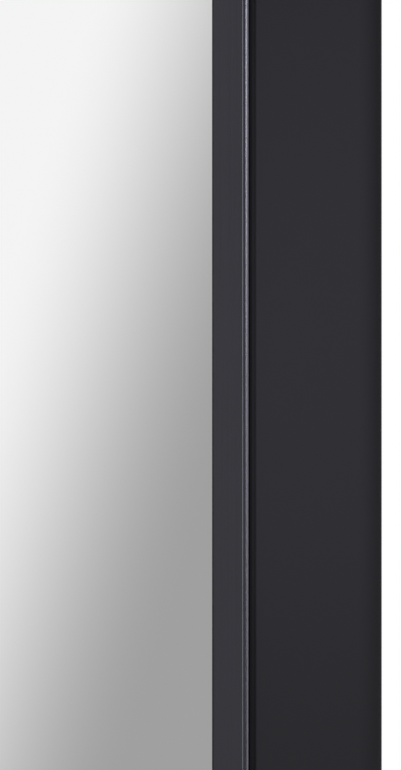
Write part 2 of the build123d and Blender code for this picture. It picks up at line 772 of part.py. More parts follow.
with BuildPart() as catch_strikes:
    with BuildSketch(front(leaf_back)):
        with GridLocations(1, 2 * magnet_z, 1, 2):
            with Locations((catch_x, 0)):
                Rectangle(strike_w, strike_h)
    extrude(amount=-strike_t)
catch_strikes.part.label = "catch_strikes"
export_step(catch_strikes.part, "parts/catch_strikes.step")
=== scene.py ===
"""Pull-out wardrobe mirror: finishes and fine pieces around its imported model.

X runs into the wardrobe, so the mirror pulls out along -X. Y points at the side panel that carries
it and Z is up. Lengths are metres; a name that ends in _mm holds millimetres."""

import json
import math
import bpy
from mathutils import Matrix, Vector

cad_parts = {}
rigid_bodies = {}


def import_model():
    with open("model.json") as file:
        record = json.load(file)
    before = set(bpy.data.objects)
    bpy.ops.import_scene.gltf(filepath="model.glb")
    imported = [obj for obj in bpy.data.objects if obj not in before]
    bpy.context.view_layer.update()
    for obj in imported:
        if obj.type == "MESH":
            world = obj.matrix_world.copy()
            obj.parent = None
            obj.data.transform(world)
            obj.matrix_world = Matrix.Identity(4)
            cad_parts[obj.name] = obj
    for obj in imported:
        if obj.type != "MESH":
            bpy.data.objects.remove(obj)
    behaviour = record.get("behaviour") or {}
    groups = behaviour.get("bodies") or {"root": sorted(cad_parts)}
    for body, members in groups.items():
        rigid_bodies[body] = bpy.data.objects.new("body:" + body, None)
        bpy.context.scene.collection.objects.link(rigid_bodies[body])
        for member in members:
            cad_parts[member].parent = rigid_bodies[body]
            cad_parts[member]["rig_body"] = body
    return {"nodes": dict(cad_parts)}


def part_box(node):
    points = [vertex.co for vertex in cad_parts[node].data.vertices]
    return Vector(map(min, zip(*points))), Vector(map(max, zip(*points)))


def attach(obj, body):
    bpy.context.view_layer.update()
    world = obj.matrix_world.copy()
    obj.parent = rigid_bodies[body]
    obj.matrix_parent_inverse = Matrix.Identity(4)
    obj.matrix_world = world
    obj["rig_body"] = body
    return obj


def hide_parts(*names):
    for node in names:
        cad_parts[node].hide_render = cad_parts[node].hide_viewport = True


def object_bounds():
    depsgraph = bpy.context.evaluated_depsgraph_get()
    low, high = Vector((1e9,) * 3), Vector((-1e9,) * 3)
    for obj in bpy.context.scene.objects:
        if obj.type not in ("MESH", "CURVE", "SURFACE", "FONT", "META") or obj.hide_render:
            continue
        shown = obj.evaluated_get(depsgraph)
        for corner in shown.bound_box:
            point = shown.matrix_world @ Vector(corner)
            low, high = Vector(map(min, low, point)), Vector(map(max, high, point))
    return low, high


bl_info = {
    "name": "Pull-out Wardrobe Mirror",
    "version": (1, 0, 0),
    "blender": (4, 5, 0),
    "location": "View3D > Sidebar > Wardrobe Mirror",
    "description": "Builds the looks of a pull-out wardrobe mirror round its packed model",
    "category": "Add Mesh",
}

import bmesh
import bpy
import numpy as np
from bpy.props import FloatProperty, FloatVectorProperty, IntProperty, PointerProperty
from mathutils import Vector

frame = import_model()
cad_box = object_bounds()
nodes = frame["nodes"]

MM = 0.001
LEVELS = ("upper", "lower")

# from the frame's outer edge to the middle of its hollow chamber, and from a corner to its crimps
CHAMBER_MIDDLE = 6.3 * MM
CRIMP_FROM_CORNER = 32 * MM
CRIMP_HALF_LENGTH = 3.5 * MM
CRIMP_HALF_WIDTH = 1.2 * MM
# chamfer at the end of a screw, and height of the washer face under a hexagon head
SCREW_POINT = 0.6 * MM
WASHER_FACE = 0.4 * MM
# a hexagon's width across its flats as a share of that across its corners, and how far a corner
# chamfered at 30 degrees falls for what it stands out
TO_FLAT = math.cos(math.radians(30))
CORNER_FALL = math.tan(math.radians(30))
# points nearer than this are one, and so are facets that turn by less than this
ONE_POINT = 0.002 * MM
ONE_FACE = math.radians(0.5)
# edges that turn by more are shaded sharp, on pieces made here and on copies of CAD nodes, and
# those of the copies that turn by more than the last angle are rounded
SHARP_MADE = math.radians(35)
SHARP_COPY = math.radians(30)
ROUNDED = math.radians(40)
# sockets of a Mix node that mixes colours
MIX_A, MIX_B, MIX_RESULT = 6, 7, 2


def linear(colour_hex):
    """Linear light of an sRGB hex colour: each channel through the sRGB curve."""
    channels = np.array([int(colour_hex[i:i + 2], 16) for i in (1, 3, 5)]) / 255
    low = channels / 12.92
    high = ((channels + 0.055) / 1.055) ** 2.4
    return tuple(float(c) for c in np.where(channels <= 0.04045, low, high))


def rgba(colour):
    """The colour with full alpha."""
    return (*colour, 1.0)


# ---- Sizes and colours that a user would change ------------------------------------------------
def length_property(name, description, default_mm, min_mm, max_mm):
    """A size that a user can change, given in millimetres and kept in metres."""
    return FloatProperty(
        name=name, description=description, default=default_mm * MM, min=min_mm * MM,
        max=max_mm * MM, precision=5, unit="LENGTH",
    )


def colour_property(name, description, colour_hex):
    """A colour that a user can change, given as sRGB hex and kept as linear light."""
    return FloatVectorProperty(
        name=name, description=description, default=linear(colour_hex), min=0, max=1,
        subtype="COLOR",
    )


class MirrorSizes(bpy.types.PropertyGroup):
    """Fine sizes of the pieces that are made here"""

    arris: length_property("Arris", "Width of the ground edge of the glass", 0.6, 0.1, 1.5)
    pane_corner: length_property("Pane corner", "Corner radius of the glass", 2.0, 0.2, 6)
    sheet_edge: length_property(
        "Sheet edge", "Rounding of the sheared edges of the steel parts", 0.25, 0.05, 0.5
    )
    moulded_edge: length_property(
        "Moulded edge", "Rounding of the edges of the plastic and rubber parts", 0.6, 0.1, 1
    )
    head_radius: length_property("Head radius", "Radius of the screw heads", 3.8, 3, 5)
    head_height: length_property("Head height", "Height of the screw heads", 2.2, 1.5, 3)
    shank_radius: length_property("Shank radius", "Radius of the screw shanks", 2.0, 1.5, 2.5)
    socket_flat: length_property(
        "Socket flat", "Half the width of a hexagon socket across its flats", 1.25, 0.8, 1.8
    )
    ball_radius: length_property("Ball radius", "Radius of the bearing balls", 1.6, 1, 1.6)
    balls_in_row: IntProperty(
        name="Balls in a row", description="Balls along one edge of a retainer",
        default=4, min=2, max=12,
    )


class MirrorColours(bpy.types.PropertyGroup):
    """Colours of the finishes"""

    frame: colour_property("Frame", "Slate anodising of the frame", "#404046")
    cover: colour_property("Cover", "Powder coat of the rear cover", "#26252a")
    steel: colour_property("Steelwork", "Powder coat of carriage, arms and upright", "#2e2e31")
    zinc: colour_property("Zinc", "Bright zinc plating of the slides", "#c3c6ca")
    mirror: colour_property("Mirror", "Silvering seen through the glass", "#f6f6f6")
    floor: colour_property("Floor", "Studio floor", "#f5f5f6")


# ---- Meshes -------------------------------------------------------------------------------------
def linked(name, mesh):
    """A new object of the scene, at the origin, with this mesh."""
    piece = bpy.data.objects.new(name, mesh)
    bpy.context.scene.collection.objects.link(piece)
    return piece


def meshed(name, points, faces, materials, smooth=True):
    """A new mesh of points and faces. A smooth one keeps its sharp edges."""
    mesh = bpy.data.meshes.new(name)
    mesh.from_pydata(points, [], faces)
    for material in materials:
        mesh.materials.append(material)
    if smooth:
        mesh.polygons.foreach_set("use_smooth", np.ones(len(mesh.polygons), bool))
        mesh.set_sharp_from_angle(angle=SHARP_MADE)
    mesh.update()
    return mesh


def lofted(name, rings, materials, level_material=None):
    """Closed skins through rings of points.

    rings holds (copies, levels, around, 3) coordinates. Neighbouring levels are joined by
    quadrilaterals that wrap round, and the first and last level are closed by one flat face each.
    level_material gives the material of the first cap, of each band and of the last cap."""
    copies, levels, around = rings.shape[:3]
    index = np.arange(copies * levels * around).reshape(copies, levels, around)
    here, above = index[:, :-1], index[:, 1:]
    quads = np.stack(
        [here, np.roll(here, -1, axis=2), np.roll(above, -1, axis=2), above], axis=-1
    )
    caps = np.concatenate([index[:, 0, ::-1], index[:, -1]])
    faces = quads.reshape(-1, 4).tolist() + caps.tolist()
    mesh = meshed(name, rings.reshape(-1, 3), faces, materials)
    if level_material is not None:
        first, *bands, last = level_material
        of_faces = np.concatenate([
            np.tile(np.repeat(bands, around), copies), np.repeat([first, last], copies),
        ])
        mesh.polygons.foreach_set("material_index", of_faces.astype(np.int32))
        mesh.update()
    return linked(name, mesh)


def turned(name, places, out, profile, materials, around=36):
    """Like pieces turned about an axis, with round or six-sided stretches.

    Each row of profile is (radius, height, six_sided, chamfer). Going round the axis by an angle,
    a round level keeps its radius, and a six-sided one has its radius over the cosine of the angle
    to the nearest flat. A chamfered level drops where its corners stand out. Heights
    run along the direction out, from each place."""
    radius, height, six_sided, chamfer = np.array(profile, float).T[:, :, None]
    angle = np.linspace(0, 2 * np.pi, around, endpoint=False)[None, :]
    to_flat = (angle + np.pi / 6) % (np.pi / 3) - np.pi / 6
    reach = radius * np.where(six_sided > 0, 1 / np.cos(to_flat), 1)
    lift = height - chamfer * (reach - radius) * CORNER_FALL
    out = np.array(out, float)
    side = np.array((0.0, 0.0, 1.0))
    across = np.cross(out, side)
    ring = (
        reach[..., None] * (np.cos(angle)[..., None] * side - np.sin(angle)[..., None] * across)
        + lift[..., None] * out
    )
    return lofted(name, np.array(places, float)[:, None, None, :] + ring[None], materials)


def softened(node, width, material):
    """A copy of a CAD node with its facets joined into flat faces and its sharp edges rounded.

    The piece stands for the node, rides on its body and takes the finish it is given."""
    source = nodes[node]
    mesh = source.data.copy()
    mesh.name = f"{node}_finished"
    shape = bmesh.new()
    shape.from_mesh(mesh)
    bmesh.ops.remove_doubles(shape, verts=shape.verts, dist=ONE_POINT)
    bmesh.ops.dissolve_limit(
        shape, angle_limit=ONE_FACE, verts=shape.verts, edges=shape.edges
    )
    shape.to_mesh(mesh)
    shape.free()
    mesh.materials.clear()
    mesh.materials.append(material)
    mesh.polygons.foreach_set("use_smooth", np.ones(len(mesh.polygons), bool))
    mesh.set_sharp_from_angle(angle=SHARP_COPY)
    mesh.update()
    piece = linked(mesh.name, mesh)
    edge = piece.modifiers.new("Edges", "BEVEL")
    edge.limit_method = "ANGLE"
    edge.angle_limit = ROUNDED
    edge.width = width
    edge.segments = 2
    edge.use_clamp_overlap = True
    edge.harden_normals = True
    return instead_of(piece, node)


def instead_of(piece, *replaced):
    """The piece stands for these CAD nodes: it rides on their body and they are hidden."""
    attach(piece, nodes[replaced[0]]["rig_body"])
    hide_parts(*replaced)
    return piece


def finished(node, material):
    """A CAD node keeps its shape and gets this material."""
    for slot in nodes[node].material_slots:
        slot.material = material


def grid_of(node, inset_x, inset_z, count_x=2, count_z=2):
    """Evenly spaced places inside a node's box as (x, z), the outer ones inset from its sides."""
    low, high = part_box(node)
    xs = np.linspace(low.x + inset_x, high.x - inset_x, count_x)
    zs = np.linspace(low.z + inset_z, high.z - inset_z, count_z)
    return [(x, z) for x in xs for z in zs]


# ---- Materials ----------------------------------------------------------------------------------
def add(tree, kind, settings=None, inputs=None):
    """Adds one node. settings are its properties, and inputs are values or sockets by input."""
    node = tree.nodes.new(kind)
    for key, value in (settings or {}).items():
        setattr(node, key, value)
    for key, value in (inputs or {}).items():
        if isinstance(value, bpy.types.NodeSocket):
            tree.links.new(value, node.inputs[key])
        else:
            node.inputs[key].default_value = value
    return node


def surface(name, **values):
    """A new material with its Principled shader, whose uniform values are set on its sockets."""
    material = bpy.data.materials.new(name)
    material.use_nodes = True
    tree = material.node_tree
    shader = next(node for node in tree.nodes if node.type == "BSDF_PRINCIPLED")
    for key, value in values.items():
        shader.inputs[key.replace("_", " ")].default_value = value
    return material, tree, shader


def mottled(tree, shader, colour, spread, patch_mm):
    """Lets the colour drift by a small share either way, in soft patches of this size.

    Returns the place on the piece and the drifting colour, for the patterns that build on them."""
    place = add(tree, "ShaderNodeTexCoord").outputs["Object"]
    patch = add(tree, "ShaderNodeTexNoise", None, {
        "Vector": place, "Scale": 1 / (patch_mm * MM), "Detail": 3.0,
    }).outputs["Fac"]
    drift = add(tree, "ShaderNodeMix", {"data_type": "RGBA"}, {
        "Factor": patch,
        MIX_A: rgba(c * (1 - spread) for c in colour),
        MIX_B: rgba(min(1, c * (1 + spread)) for c in colour),
    }).outputs[MIX_RESULT]
    tree.links.new(drift, shader.inputs["Base Color"])
    return place, drift


def textured(tree, shader, noise, roughness, strength, depth_mm, reach=(0.0, 1.0)):
    """Lets a noise vary the roughness and stand up as a fine relief of this strength and depth.

    roughness holds the values at the low and the high end of the noise's reach."""
    varied = add(tree, "ShaderNodeMapRange", None, {
        "Value": noise, "From Min": reach[0], "From Max": reach[1],
        "To Min": roughness[0], "To Max": roughness[1],
    }).outputs["Result"]
    tree.links.new(varied, shader.inputs["Roughness"])
    relief = add(tree, "ShaderNodeBump", None, {
        "Height": noise, "Strength": strength, "Distance": depth_mm * MM,
    }).outputs["Normal"]
    tree.links.new(relief, shader.inputs["Normal"])


def fading(tree, shader, place, start, end):
    """A shader that clears towards a rim, between two distances from the middle."""
    away = add(tree, "ShaderNodeVectorMath", {"operation": "LENGTH"}, {0: place})
    rim = add(tree, "ShaderNodeMapRange", {"interpolation_type": "SMOOTHSTEP"}, {
        "Value": away.outputs["Value"], "From Min": start, "From Max": end,
    }).outputs["Result"]
    clear = add(tree, "ShaderNodeBsdfTransparent").outputs[0]
    return add(tree, "ShaderNodeMixShader", None, {0: rim, 1: shader, 2: clear}).outputs[0]


def anodised_aluminium(name, colour, along):
    """Extruded aluminium, etched and anodised slate: a satin metal whose die lines run along the
    bar and stretch its highlights, with a hairline at each mitre, a crimp on each leg of a corner,
    pressed in from the back, and a dull lip beside the gasket, darkened with painted shade."""
    leaf = leaf_sizes()
    material, tree, shader = surface(name, Metallic=1.0)
    place, drift = mottled(tree, shader, colour, 0.05, 90)
    # die lines 0.25 mm wide and 200 mm long
    fine, lengthwise = 1 / (0.25 * MM), 1 / (200 * MM)
    scale = [lengthwise if axis == along else fine for axis in "XYZ"]
    lined = add(tree, "ShaderNodeMapping", None, {"Vector": place, "Scale": scale})
    lines = add(tree, "ShaderNodeTexNoise", None, {
        "Vector": lined.outputs["Vector"], "Scale": 1.0, "Detail": 2.0,
    }).outputs["Fac"]
    rough = add(tree, "ShaderNodeMapRange", None, {
        "Value": lines, "To Min": 0.25, "To Max": 0.31,
    }).outputs["Result"]
    # distance in from the nearer upright edge, and from the top or bottom edge
    axes = add(tree, "ShaderNodeSeparateXYZ", None, {"Vector": place}).outputs
    inwards = []
    for axis, middle, half in (
        ("X", leaf["middle_x"], leaf["half_width"]), ("Z", 0.0, leaf["half_height"]),
    ):
        off_middle = add(tree, "ShaderNodeMath", {"operation": "SUBTRACT"}, {
            0: axes[axis], 1: middle,
        }).outputs[0]
        away = add(tree, "ShaderNodeMath", {"operation": "ABSOLUTE"}, {0: off_middle}).outputs[0]
        inwards.append(add(tree, "ShaderNodeMath", {"operation": "SUBTRACT"}, {
            0: half, 1: away,
        }).outputs[0])
    across, down = inwards
    further, nearer, apart = (
        add(tree, "ShaderNodeMath", {"operation": operation}, {0: across, 1: down}).outputs[0]
        for operation in ("MAXIMUM", "MINIMUM", "SUBTRACT")
    )
    # the mitre's hairline is 0.1 mm wide and is drawn at 0.3 mm so that it shows
    off_mitre = add(tree, "ShaderNodeMath", {"operation": "ABSOLUTE"}, {0: apart}).outputs[0]
    hairline = add(tree, "ShaderNodeMapRange", {"interpolation_type": "SMOOTHSTEP"}, {
        "Value": off_mitre, "From Min": 0.10 * MM, "From Max": 0.30 * MM,
        "To Min": 1.0, "To Max": 0.0,
    }).outputs["Result"]
    seamed = add(tree, "ShaderNodeMix", {"data_type": "RGBA"}, {
        "Factor": hairline, MIX_A: drift, MIX_B: rgba(c * 0.25 for c in colour),
    }).outputs[MIX_RESULT]
    # the frame's edge beside the gasket is dull, and darkened with painted shade so that it shows
    # no highlight
    dull_lip_and_painted_shade = add(tree, "ShaderNodeMapRange", {"interpolation_type": "SMOOTHSTEP"}, {
        "Value": nearer,
        "From Min": leaf["lip_at"] - 0.45 * MM, "From Max": leaf["lip_at"] - 0.25 * MM,
    }).outputs["Result"]
    dulled = add(tree, "ShaderNodeMix", {"data_type": "FLOAT"}, {
        "Factor": dull_lip_and_painted_shade, "A": rough, "B": 0.7,
    }).outputs["Result"]
    tree.links.new(dulled, shader.inputs["Roughness"])
    # painted shade: the colour of the edge beside the gasket darkens to 0.35 of the frame's
    lip_painted_shade = add(tree, "ShaderNodeMix", {"data_type": "RGBA"}, {
        "Factor": dull_lip_and_painted_shade, MIX_A: seamed, MIX_B: rgba(c * 0.35 for c in colour),
    }).outputs[MIX_RESULT]
    tree.links.new(lip_painted_shade, shader.inputs["Base Color"])
    # crimps: round-ended dents in the middle of the hollow chamber's back wall
    along_leg = add(tree, "ShaderNodeMath", {"operation": "SUBTRACT"}, {
        0: further, 1: CRIMP_FROM_CORNER,
    }).outputs[0]
    off_leg = add(tree, "ShaderNodeMath", {"operation": "SUBTRACT"}, {
        0: nearer, 1: CHAMBER_MIDDLE,
    }).outputs[0]
    spot = add(tree, "ShaderNodeCombineXYZ", None, {"X": along_leg, "Y": off_leg}).outputs[0]
    squeezed = add(tree, "ShaderNodeVectorMath", {"operation": "MULTIPLY"}, {
        0: spot, 1: (1 / CRIMP_HALF_LENGTH, 1 / CRIMP_HALF_WIDTH, 0),
    }).outputs[0]
    off_crimp = add(tree, "ShaderNodeVectorMath", {"operation": "LENGTH"}, {
        0: squeezed,
    }).outputs["Value"]
    dent = add(tree, "ShaderNodeMapRange", {"interpolation_type": "SMOOTHSTEP"}, {
        "Value": off_crimp, "From Min": 0.55, "From Max": 1.0, "To Min": 1.0, "To Max": 0.0,
    }).outputs["Result"]
    behind = add(tree, "ShaderNodeMath", {"operation": "GREATER_THAN"}, {
        0: axes["Y"], 1: leaf["back_y"] - 0.5 * MM,
    }).outputs[0]
    crimp = add(tree, "ShaderNodeMath", {"operation": "MULTIPLY"}, {0: dent, 1: behind}).outputs[0]
    sunk = add(tree, "ShaderNodeMath", {"operation": "ADD"}, {0: crimp, 1: hairline}).outputs[0]
    height = add(tree, "ShaderNodeMath", {"operation": "MULTIPLY"}, {0: sunk, 1: -1.0}).outputs[0]
    dents = add(tree, "ShaderNodeBump", None, {
        "Height": height, "Strength": 0.8, "Distance": 0.6 * MM,
    }).outputs["Normal"]
    relief = add(tree, "ShaderNodeBump", None, {
        "Height": lines, "Strength": 0.1, "Distance": 0.01 * MM, "Normal": dents,
    }).outputs["Normal"]
    tree.links.new(relief, shader.inputs["Normal"])
    return material


def powder_coat(name, colour, grain_mm, roughness, gloss):
    """Sheet steel, powder-coated and baked: a closed matt film with the fine orange peel of melted
    powder, which breaks up what it reflects."""
    material, tree, shader = surface(name, IOR=1.5, Specular_IOR_Level=gloss)
    place = mottled(tree, shader, colour, 0.04, 120)[0]
    peel = add(tree, "ShaderNodeTexNoise", None, {
        "Vector": place, "Scale": 1 / (grain_mm * MM), "Detail": 1.0,
    }).outputs["Fac"]
    textured(tree, shader, peel, (roughness - 0.05, roughness + 0.05), 0.35, 0.03)
    return material


def zinc_plated_steel(name, colour, roughness=0.28):
    """Cold-rolled steel strip, bright zinc-plated: rolling lines along X, a faint cloudiness and
    the duller streaks that grease and running leave."""
    material, tree, shader = surface(name, Metallic=1.0)
    place = mottled(tree, shader, colour, 0.08, 14)[0]
    # rolling lines 0.3 mm apart and 25 mm long
    lined = add(tree, "ShaderNodeMapping", None, {
        "Vector": place, "Scale": (1 / (25 * MM), 1 / (0.3 * MM), 1 / (0.3 * MM)),
    })
    lines = add(tree, "ShaderNodeTexNoise", None, {
        "Vector": lined.outputs["Vector"], "Scale": 1.0, "Detail": 3.0,
    }).outputs["Fac"]
    textured(
        tree, shader, lines, (roughness - 0.08, roughness + 0.12), 0.3, 0.01, reach=(0.25, 0.75)
    )
    return material


def silvered_glass(name, colour):
    """Float glass, silvered on its back: a true mirror with a trace of haze where it was wiped."""
    material, tree, shader = surface(name, Metallic=1.0, Base_Color=rgba(colour))
    place = add(tree, "ShaderNodeTexCoord").outputs["Object"]
    # wiping marks 30 mm wide and 120 mm long, which slant
    wiped = add(tree, "ShaderNodeMapping", None, {
        "Vector": place, "Scale": (1 / (30 * MM), 1, 1 / (120 * MM)), "Rotation": (0, 0.5, 0),
    })
    haze = add(tree, "ShaderNodeTexNoise", None, {
        "Vector": wiped.outputs["Vector"], "Scale": 1.0, "Detail": 4.0,
    }).outputs["Fac"]
    rough = add(tree, "ShaderNodeMapRange", None, {
        "Value": haze, "From Min": 0.3, "From Max": 0.8, "To Min": 0.0, "To Max": 0.025,
    }).outputs["Result"]
    tree.links.new(rough, shader.inputs["Roughness"])
    return material


def grained(name, colour_hex, grain_mm, depth_mm, roughness, **values):
    """Any close-grained surface: soft patches of colour and a grain, felt more than seen."""
    material, tree, shader = surface(name, **values)
    place = mottled(tree, shader, linear(colour_hex), 0.10, 30)[0]
    grain = add(tree, "ShaderNodeTexNoise", None, {
        "Vector": place, "Scale": 1 / (grain_mm * MM), "Detail": 2.0,
    }).outputs["Fac"]
    textured(tree, shader, grain, (roughness - 0.07, roughness + 0.07), 0.5, depth_mm)
    return material


def leaf_sizes():
    """Where the leaf lies, from the boxes of its frame members. lip_at is how far the frame's
    front lip reaches in from its outer edge."""
    left_low, left_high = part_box("left_stile")
    right_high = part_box("right_stile")[1]
    return {
        "middle_x": (left_low.x + right_high.x) / 2,
        "half_width": (right_high.x - left_low.x) / 2,
        "half_height": left_high.z,
        "front_y": left_low.y,
        "back_y": left_high.y,
        "lip_at": left_high.x - left_low.x,
    }


# ---- Operators ----------------------------------------------------------------------------------
class MIRROR_OT_glass(bpy.types.Operator):
    """Makes the silvered pane with its ground edges, and finishes the gasket round it"""

    bl_idname = "wardrobe_mirror.glass"
    bl_label = "Mirror Glass"

    def execute(self, context):
        """The pane's outline is a rectangle with round corners. Its levels are that outline, drawn
        in by the arris on both faces."""
        sizes = context.scene.mirror_sizes
        low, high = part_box("mirror_glass")
        turn = np.linspace(0, np.pi / 2, 7)
        quarters = ((1, 1, 0), (-1, 1, np.pi / 2), (-1, -1, np.pi), (1, -1, 3 * np.pi / 2))
        corner, arris = sizes.pane_corner, sizes.arris
        outlines = []
        for inset in (arris, 0, 0, arris):
            radius = corner - inset / 2
            half_x = (high.x - low.x) / 2 - inset - radius
            half_z = (high.z - low.z) / 2 - inset - radius
            outlines.append(np.concatenate([
                np.stack([
                    side_x * half_x + radius * np.cos(turn + start),
                    side_z * half_z + radius * np.sin(turn + start),
                ], axis=-1)
                for side_x, side_z, start in quarters
            ]))
        outlines = np.array(outlines)
        depths = np.array((low.y, low.y + arris, high.y - arris, high.y))
        rings = np.stack([
            outlines[..., 0] + (low.x + high.x) / 2,
            np.repeat(depths[:, None], outlines.shape[1], axis=1),
            outlines[..., 1] + (low.z + high.z) / 2,
        ], axis=-1)
        silver = silvered_glass("float_glass_silvered", context.scene.mirror_colours.mirror)
        ground = grained("float_glass_ground_edge", "#5f8f80", 0.2, 0.01, 0.45, IOR=1.52)
        backing = grained("mirror_backing_paint", "#6d7471", 0.6, 0.02, 0.6)
        pane = lofted("mirror_pane", rings[None], [silver, ground, backing], (0, 1, 1, 1, 2))
        instead_of(pane, "mirror_glass")
        rubber = grained(
            "pvc_gasket_extruded", "#151516", 0.8, 0.02, 0.55, IOR=1.5, Specular_IOR_Level=0.3,
        )
        finished("glass_gasket", rubber)
        self.bulb(rubber)
        return {"FINISHED"}

    def bulb(self, rubber):
        """The gasket's soft nose, which fills the step between glass and frame and laps on the
        frame's edge. Its section is a flattened half round: across by the cosine, and out from the
        glass by the square root of the sine. It is carried round the opening, mitred."""
        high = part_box("glass_gasket")[1]
        frame_low, frame_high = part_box("right_stile")
        leaf = leaf_sizes()
        # what the nose covers of the frame and of the glass, and how far it stays behind the face
        lap, show, recess = 0.35 * MM, 0.7 * MM, 0.02 * MM
        lip = frame_high.x - frame_low.x
        turn = np.linspace(0, np.pi, 13)
        inwards = (show - lap) / 2 + (show + lap) / 2 * np.cos(turn)
        tall = high.y - frame_low.y - recess
        depth = high.y - tall * np.sqrt(np.sin(turn).clip(0, 1))
        half_x = (leaf["half_width"] - lip - inwards)[None, :] * np.array([1, -1, -1, 1])[:, None]
        half_z = (leaf["half_height"] - lip - inwards)[None, :] * np.array([1, 1, -1, -1])[:, None]
        points = np.stack([
            leaf["middle_x"] + half_x, np.tile(depth, (4, 1)), half_z,
        ], axis=-1)
        corner = np.arange(points[..., 0].size).reshape(4, -1)
        ahead = np.roll(corner, -1, axis=0)
        quads = np.stack([
            corner, np.roll(corner, -1, axis=1), np.roll(ahead, -1, axis=1), ahead,
        ], axis=-1)
        mesh = meshed(
            "gasket_bulb", points.reshape(-1, 3), quads.reshape(-1, 4).tolist(), [rubber]
        )
        piece = linked("gasket_bulb", mesh)
        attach(piece, "leaf")


class MIRROR_OT_frame(bpy.types.Operator):
    """Finishes the four mitred members of the leaf's frame"""

    bl_idname = "wardrobe_mirror.frame"
    bl_label = "Frame"

    def execute(self, context):
        colour = context.scene.mirror_colours.frame
        upright = anodised_aluminium("anodised_aluminium_drawn_upright", colour, "Z")
        level = anodised_aluminium("anodised_aluminium_drawn_level", colour, "X")
        for node in ("left_stile", "right_stile"):
            finished(node, upright)
        for node in ("top_rail", "bottom_rail"):
            finished(node, level)
        return {"FINISHED"}


class MIRROR_OT_leaf_inside(bpy.types.Operator):
    """Finishes the leaf's corner keys, core, back panel and catch strikes"""

    bl_idname = "wardrobe_mirror.leaf_inside"
    bl_label = "Leaf Inside and Back"

    def execute(self, context):
        sizes = context.scene.mirror_sizes
        finished("corner_keys", grained(
            "zinc_alloy_die_cast", "#9c9da0", 0.5, 0.03, 0.5, Metallic=1.0,
        ))
        finished("core_board", grained(
            "honeycomb_board_paper", "#b49a74", 1.2, 0.1, 0.85,
        ))
        finished("back_panel", grained(
            "fibreboard_lacquered", "#333236", 0.9, 0.04, 0.55, IOR=1.5, Specular_IOR_Level=0.35,
        ))
        zinc = zinc_plated_steel("zinc_plated_steel_stamped", context.scene.mirror_colours.zinc)
        softened("catch_strikes", sizes.sheet_edge, zinc)
        return {"FINISHED"}


class MIRROR_OT_cover(bpy.types.Operator):
    """Finishes the rear cover, its caps and brackets, and makes its pan-head screws"""

    bl_idname = "wardrobe_mirror.cover"
    bl_label = "Rear Cover"

    def execute(self, context):
        """A pan head is a dome: its rise falls off as one minus the square of the radius."""
        sizes = context.scene.mirror_sizes
        colours = context.scene.mirror_colours
        # powder grain of 0.3 mm is drawn at 0.8 mm so that it shows
        matt = powder_coat("steel_powder_coated_matt", colours.cover, 0.8, 0.58, 0.18)
        finished("rear_cover", matt)
        steel = powder_coat("steel_powder_coated_satin", colours.steel, 0.8, 0.42, 0.45)
        softened("cover_brackets", sizes.sheet_edge, steel)
        nylon = grained(
            "nylon_moulded_spark_grain", "#2b2a2e", 0.5, 0.04, 0.55,
            IOR=1.53, Specular_IOR_Level=0.4,
        )
        for node in ("cover_top_cap", "cover_bottom_cap"):
            softened(node, sizes.moulded_edge, nylon)
        low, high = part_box("cover_screws")
        radius, height = sizes.head_radius, sizes.head_height
        socket, shank = sizes.socket_flat, sizes.shank_radius
        length = high.x - low.x - height
        # chamfer of the socket's mouth, and height of the head's rim
        mouth, rim = 0.15 * MM, 0.3 * MM
        dome = np.linspace(socket * 1.35, radius, 6)
        rise = height * (0.55 + 0.45 * (1 - (dome / radius) ** 2))
        # from the socket's floor over the dome to the rim, and down the shank to its point
        profile = [
            (socket * 0.6, height * 0.35, 1, 0), (socket, height * 0.4, 1, 0),
            (socket, rise[0] - mouth, 1, 0), (socket + mouth, rise[0], 1, 0),
            *[(r, z, 0, 0) for r, z in zip(dome, rise)],
            (radius, rim, 0, 0), (radius - rim, 0, 0, 0), (shank, 0, 0, 0),
            (shank, SCREW_POINT - length, 0, 0), (shank - SCREW_POINT, -length, 0, 0),
        ]
        black = grained("steel_black_zinc_plated", "#47474b", 0.3, 0.01, 0.32, Metallic=1.0)
        places = [
            (high.x - height, (low.y + high.y) / 2, z)
            for _, z in grid_of("cover_screws", 0, radius, 1, 2)
        ]
        screws = turned("cover_pan_screws", places, (1, 0, 0), profile, [black])
        instead_of(screws, "cover_screws")
        return {"FINISHED"}


class MIRROR_OT_base(bpy.types.Operator):
    """Finishes the mounting arms and the rear upright"""

    bl_idname = "wardrobe_mirror.base"
    bl_label = "Arms and Upright"

    def execute(self, context):
        sizes = context.scene.mirror_sizes
        steel = powder_coat(
            "steel_powder_coated_black", context.scene.mirror_colours.steel, 0.9, 0.45, 0.45
        )
        for node in ("upper_mounting_arm", "lower_mounting_arm", "rear_upright"):
            softened(node, sizes.sheet_edge, steel)
        return {"FINISHED"}


